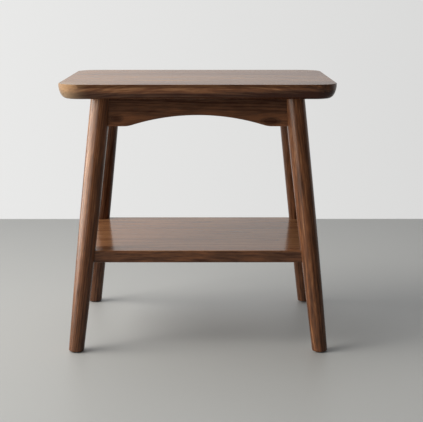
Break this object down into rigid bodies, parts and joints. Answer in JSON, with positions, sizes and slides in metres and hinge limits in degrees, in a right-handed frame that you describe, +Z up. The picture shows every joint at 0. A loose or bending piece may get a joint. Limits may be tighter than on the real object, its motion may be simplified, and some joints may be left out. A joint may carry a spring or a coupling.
{
  "type": "end table with shelf",
  "caption": "Walnut end table with a rounded rectangular top, splayed round legs, an arched apron frame and a lower shelf.",
  "frame": {"origin": "on the floor under the middle of the table", "axes": "+X to the right, +Y to the back, +Z up; the front of the table faces -Y"},
  "size_m": [0.56, 0.44, 0.555],
  "materials": {
    "walnut": "satin oil on solid walnut",
    "zinc_plated_steel": "bright zinc plate",
    "glide_nylon": "moulded dark brown nylon"
  },
  "bodies": {
    "root": {"table_top": "walnut", "apron_front": "walnut", "apron_back": "walnut", "apron_left": "walnut", "apron_right": "walnut", "shelf": "walnut", "leg_front_left": "walnut", "leg_front_right": "walnut", "leg_back_left": "walnut", "leg_back_right": "walnut", "corner_block_front_left": "walnut", "corner_block_front_right": "walnut", "corner_block_back_left": "walnut", "corner_block_back_right": "walnut", "corner_block_screws": "zinc_plated_steel", "glide_nails": "zinc_plated_steel", "leg_hanger_bolts": "zinc_plated_steel", "leg_bolt_washers": "zinc_plated_steel", "leg_bolt_nuts": "zinc_plated_steel", "shelf_hanger_bolts": "zinc_plated_steel", "shelf_bolt_washers": "zinc_plated_steel", "shelf_bolt_nuts": "zinc_plated_steel", "figure_eight_plates": "zinc_plated_steel", "plate_screws_into_aprons": "zinc_plated_steel", "plate_screws_into_top": "zinc_plated_steel", "foot_glide_front_left": "glide_nylon", "foot_glide_front_right": "glide_nylon", "foot_glide_back_left": "glide_nylon", "foot_glide_back_right": "glide_nylon"}
  },
  "joints": []
}
